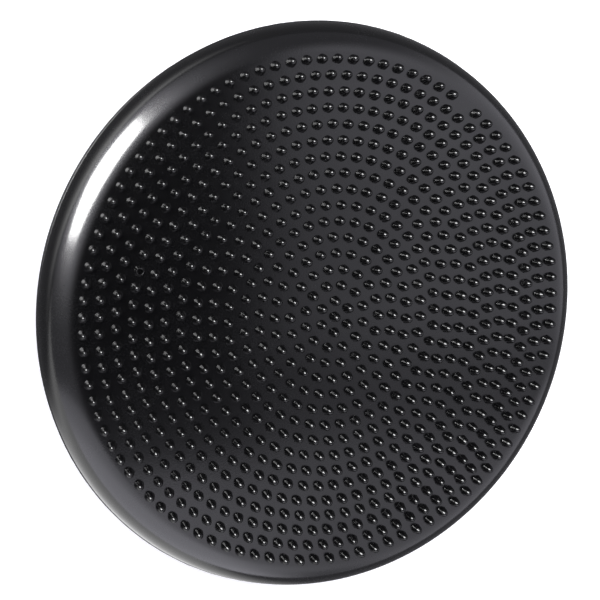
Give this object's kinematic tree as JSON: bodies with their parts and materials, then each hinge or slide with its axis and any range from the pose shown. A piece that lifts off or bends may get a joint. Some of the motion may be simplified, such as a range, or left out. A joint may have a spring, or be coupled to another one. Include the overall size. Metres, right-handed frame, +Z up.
{
  "type": "wobble cushion",
  "caption": "Round inflatable wobble cushion with massage nubs on its upper face, a rounded rim with a weld line, and a plug valve in its edge.",
  "frame": {"origin": "on the floor, at the middle of the flat pad that the cushion rests on", "axes": "+Z up through the nubbed face, +X from the middle out through the valve in the rim"},
  "size_m": [0.3308, 0.331, 0.0734],
  "materials": {
    "skin": "glossy soft PVC, faintly mottled",
    "seam": "satin PVC weld bead",
    "valve_rubber": "matt",
    "plug": "fine moulded grain"
  },
  "bodies": {
    "base": {"lower_skin": "skin"},
    "rim": {"equator_seam": "seam", "valve_housing": "valve_rubber", "valve_core": "valve_rubber"},
    "top": {"upper_skin": "skin"},
    "plug": {"valve_plug": "plug"}
  },
  "joints": [
    {"name": "front_back_tilt", "type": "hinge", "parent": "base", "child": "rim", "pos_m": [0, 0, 0.0342], "axis": [1, 0, 0], "range_deg": [-8, 8], "stiffness_Nm_per_rad": 60, "deforming": ["lower_skin"]},
    {"name": "side_tilt", "type": "hinge", "parent": "rim", "child": "top", "pos_m": [0, 0, 0.0342], "axis": [0, 1, 0], "range_deg": [-8, 8], "stiffness_Nm_per_rad": 60, "deforming": ["upper_skin"]},
    {"name": "plug_pull", "type": "slide", "parent": "rim", "child": "plug", "axis": [1, 0, 0], "range_m": [0, 0.012]}
  ]
}
